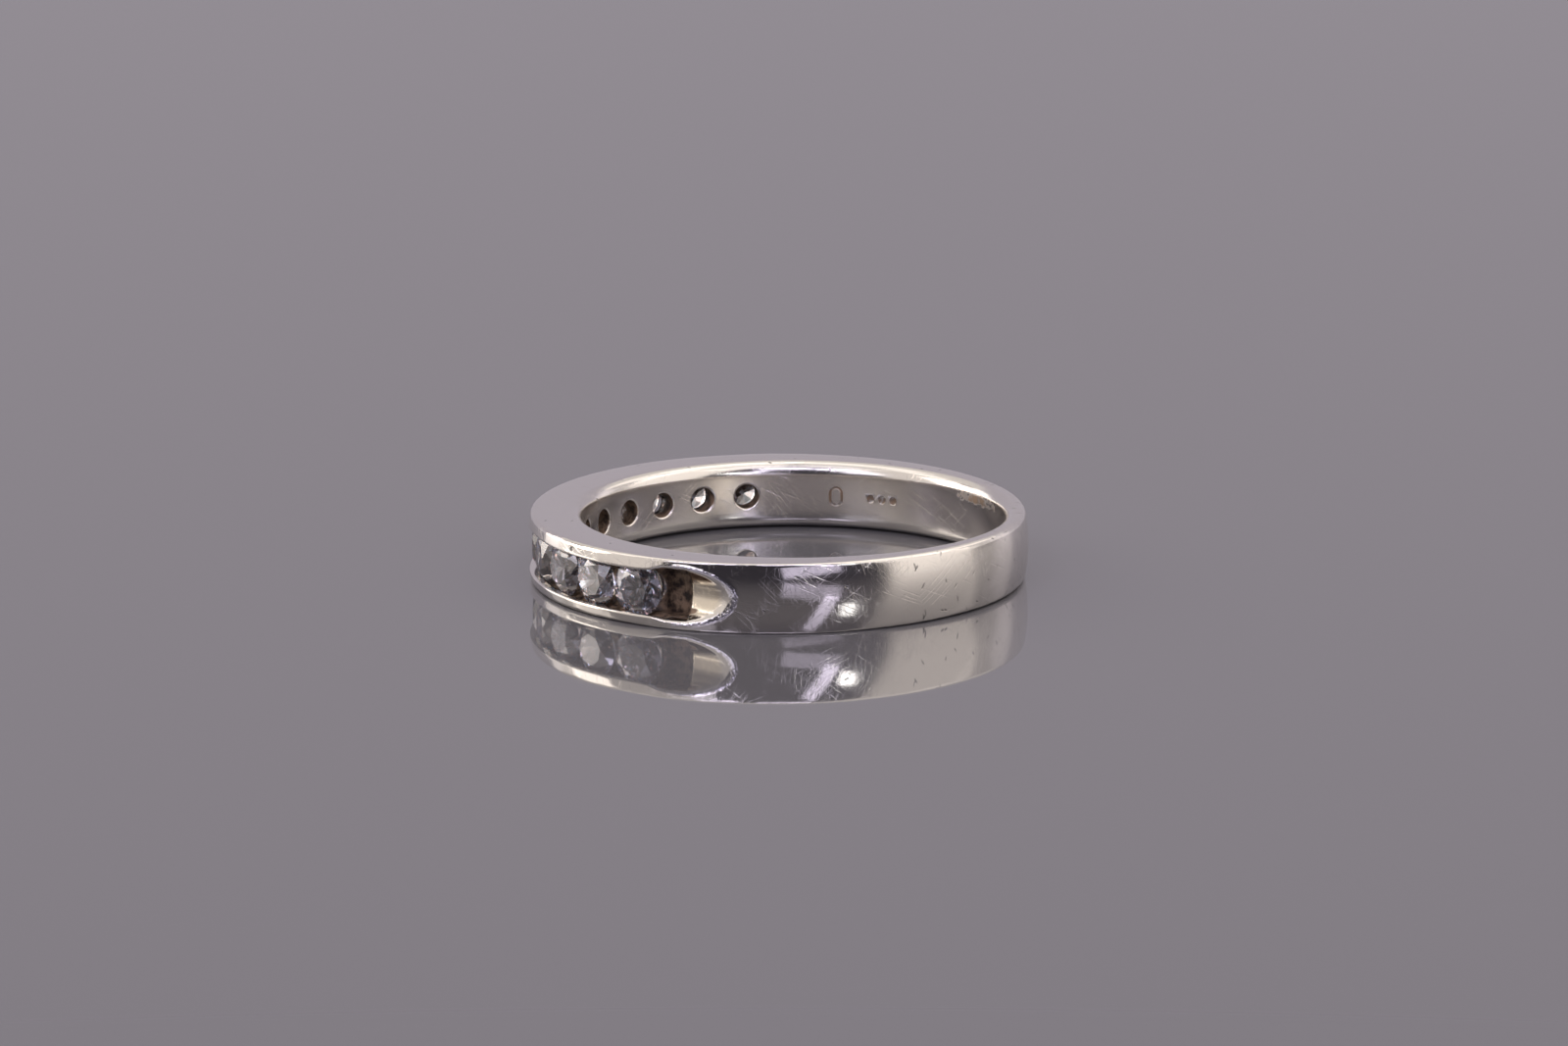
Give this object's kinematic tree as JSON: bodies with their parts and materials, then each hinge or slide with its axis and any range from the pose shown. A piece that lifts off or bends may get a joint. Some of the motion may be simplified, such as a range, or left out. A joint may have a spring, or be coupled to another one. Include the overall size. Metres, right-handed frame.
{
  "type": "channel set band ring",
  "caption": "Tapered metal finger ring with a row of round brilliants held between two rails, scooped channel ends, drilled holes under the stones and an eased finger bore.",
  "frame": {"origin": "middle of the finger bore, on its axis, half way across the band", "axes": "+Z along the finger bore and up as the ring lies on its side; the middle stone faces -Y and the plain back of the band is at +Y"},
  "size_m": [0.0206, 0.02, 0.0028],
  "materials": {
    "white_gold": "polished white gold, slightly warm, with fine scratches and small nicks from wear",
    "diamond": "clear colourless cut stone, polished facets"
  },
  "bodies": {
    "root": {"band": "white_gold", "stone_01": "diamond", "stone_02": "diamond", "stone_03": "diamond", "stone_04": "diamond", "stone_05": "diamond", "stone_06": "diamond", "stone_07": "diamond", "stone_08": "diamond", "stone_09": "diamond", "stone_10": "diamond", "stone_11": "diamond"}
  },
  "joints": []
}
